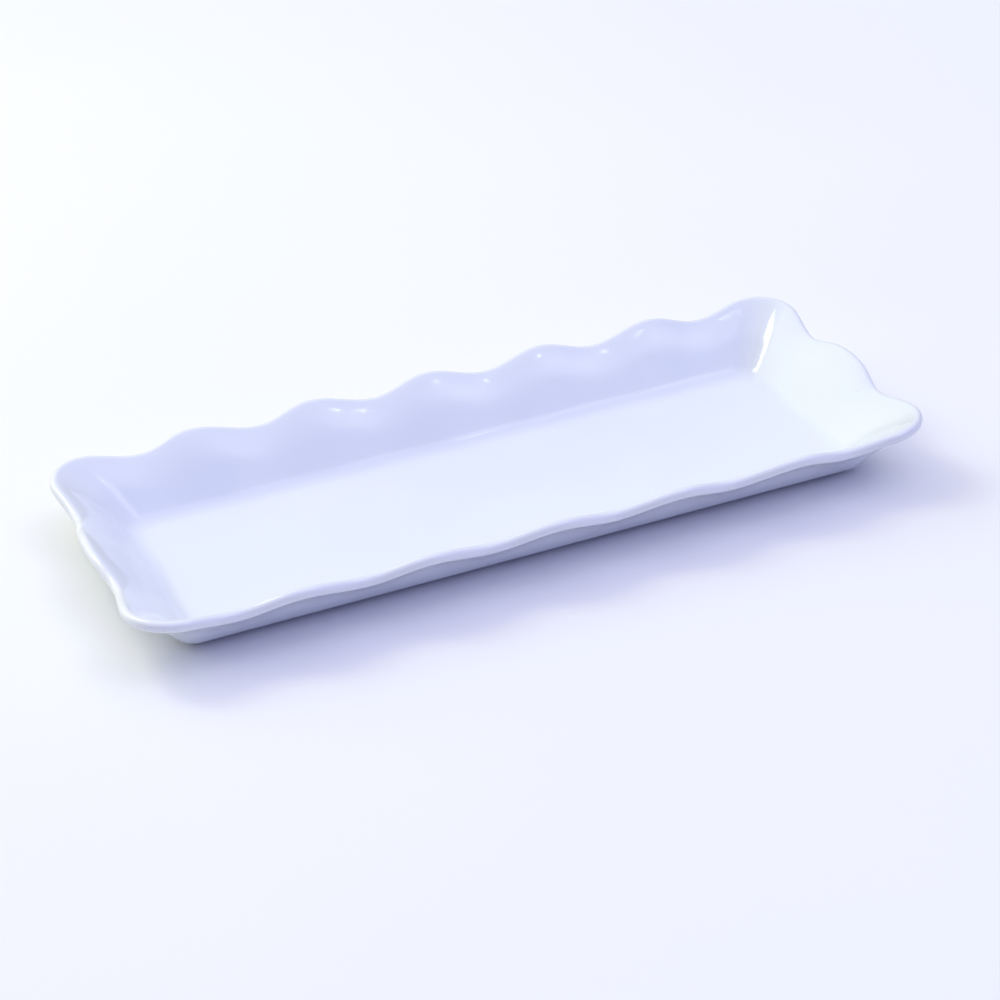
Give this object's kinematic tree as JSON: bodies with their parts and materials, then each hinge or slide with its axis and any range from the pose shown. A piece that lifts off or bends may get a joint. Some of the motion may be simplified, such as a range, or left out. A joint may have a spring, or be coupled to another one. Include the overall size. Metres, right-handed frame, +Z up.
{
  "type": "serving platter",
  "caption": "Long shallow rectangular china serving platter with sloping walls, a wavy flared rim and a low unglazed foot ring.",
  "frame": {"origin": "on the table surface, under the middle of the platter, in the plane of the foot ring's ground face", "axes": "+X along the length, +Y across the width, +Z up out of the well"},
  "size_m": [0.3798, 0.1588, 0.0314],
  "materials": {
    "biscuit": "fired white clay, matt, hidden under the glaze",
    "bare_foot": "unglazed clay, ground flat and slightly grey from use",
    "glaze": "glossy cool white glaze"
  },
  "bodies": {
    "root": {"china_body": "biscuit", "foot_ring": "bare_foot", "glaze_coat": "glaze", "glaze_underside": "glaze"}
  },
  "joints": []
}
